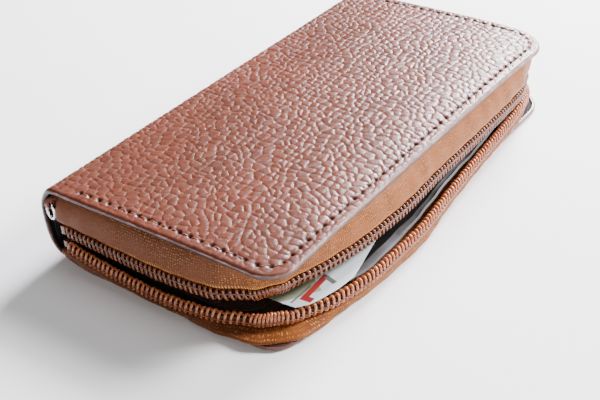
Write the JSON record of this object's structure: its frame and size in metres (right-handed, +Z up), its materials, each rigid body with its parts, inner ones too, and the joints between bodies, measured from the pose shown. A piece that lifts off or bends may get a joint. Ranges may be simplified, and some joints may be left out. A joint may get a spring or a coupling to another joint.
{
  "type": "zip around wallet",
  "caption": "Long leather wallet closed by a coil zip round three sides, opening on a folding spine, with card slots, a note leaf and a zipped coin pocket inside.",
  "frame": {"origin": "middle of the flat underside of the back cover", "axes": "+X along the long side towards the parked zip slider, +Y towards the folded spine, -Y out of the zip opening, +Z up through both covers"},
  "size_m": [0.2028, 0.1102, 0.0314],
  "materials": {
    "leather": "pebble-grained leather with a painted edge",
    "board": "stiff board",
    "lining": "dark woven lining",
    "panel": "thin smooth dark leather",
    "satin": "grey satin",
    "tape": "woven zip tape",
    "coil": "moulded nylon coil",
    "metal": "polished plating",
    "paper": "uncoated printed paper"
  },
  "bodies": {
    "back_half": {"back_cover_leather": "leather", "back_board": "board", "back_lining": "lining", "back_card_panel": "panel", "back_near_card_slot_1": "panel", "back_near_card_slot_2": "panel", "back_near_card_slot_3": "panel", "back_far_card_slot_1": "panel", "back_far_card_slot_2": "panel", "back_far_card_slot_3": "panel", "bill_divider": "satin", "lower_zip_tape": "tape", "lower_zip_coil": "coil", "lower_top_stop": "coil", "closed_chain_end": "coil", "bottom_stop": "metal"},
    "spine": {"spine_leather": "leather", "spine_reinforcement": "board", "spine_lining": "lining", "coin_pocket_lower_wall": "lining", "coin_pocket_upper_wall": "lining", "coin_pocket_near_gusset": "lining", "coin_pocket_far_gusset": "lining", "coin_pocket_base_strip": "lining", "coin_zip_lower_tape": "tape", "coin_zip_upper_tape": "tape", "coin_zip_coil": "coil", "strap_ring_tab": "leather"},
    "front_half": {"front_cover_leather": "leather", "front_board": "board", "front_lining": "lining", "front_card_panel": "panel", "front_near_card_slot_1": "panel", "front_near_card_slot_2": "panel", "front_near_card_slot_3": "panel", "front_far_card_slot_1": "panel", "front_far_card_slot_2": "panel", "front_far_card_slot_3": "panel", "upper_zip_tape": "tape", "upper_zip_coil": "coil", "upper_top_stop": "coil"},
    "zip_slider": {"zip_slider_body": "metal", "zip_slider_bridge": "metal"},
    "zip_pull": {"zip_pull_frame": "metal", "zip_pull_tab": "leather"},
    "coin_slider": {"coin_slider_body": "metal"},
    "coin_pull": {"coin_slider_pull": "metal"},
    "strap_ring_loop": {"strap_ring": "metal"},
    "paper": {"paper_slip": "paper"}
  },
  "joints": [
    {"name": "spine_fold", "type": "hinge", "parent": "back_half", "child": "spine", "pos_m": [0, 0.05165, 0.0067], "axis": [-1, 0, 0], "range_deg": [0, 90]},
    {"name": "cover_fold", "type": "hinge", "parent": "spine", "child": "front_half", "pos_m": [0, 0.05165, 0.0247], "axis": [-1, 0, 0], "range_deg": [0, 90]},
    {"name": "zip_slide", "type": "slide", "parent": "back_half", "child": "zip_slider", "axis": [0, -1, 0], "range_m": [0, 0.055]},
    {"name": "zip_pull_swing", "type": "hinge", "parent": "zip_slider", "child": "zip_pull", "pos_m": [0.1003, 0.0396, 0.0126], "axis": [0, 0, 1], "range_deg": [0, 175]},
    {"name": "coin_zip_slide", "type": "slide", "parent": "spine", "child": "coin_slider", "axis": [1, 0, 0], "range_m": [0, 0.128]},
    {"name": "coin_pull_swing", "type": "hinge", "parent": "coin_slider", "child": "coin_pull", "pos_m": [-0.066, -0.0406, 0.02055], "axis": [0, -1, 0], "range_deg": [0, 170]},
    {"name": "strap_ring_swing", "type": "hinge", "parent": "spine", "child": "strap_ring_loop", "pos_m": [-0.0987, 0.0462, 0.0263], "axis": [0, 1, 0], "range_deg": [-50, 95]},
    {"name": "paper_pull_out", "type": "slide", "parent": "back_half", "child": "paper", "axis": [0, -1, 0], "range_m": [0, 0.07]}
  ],
  "couplings": [
    {"joint": "cover_fold", "follows": "spine_fold", "ratio": 1}
  ]
}
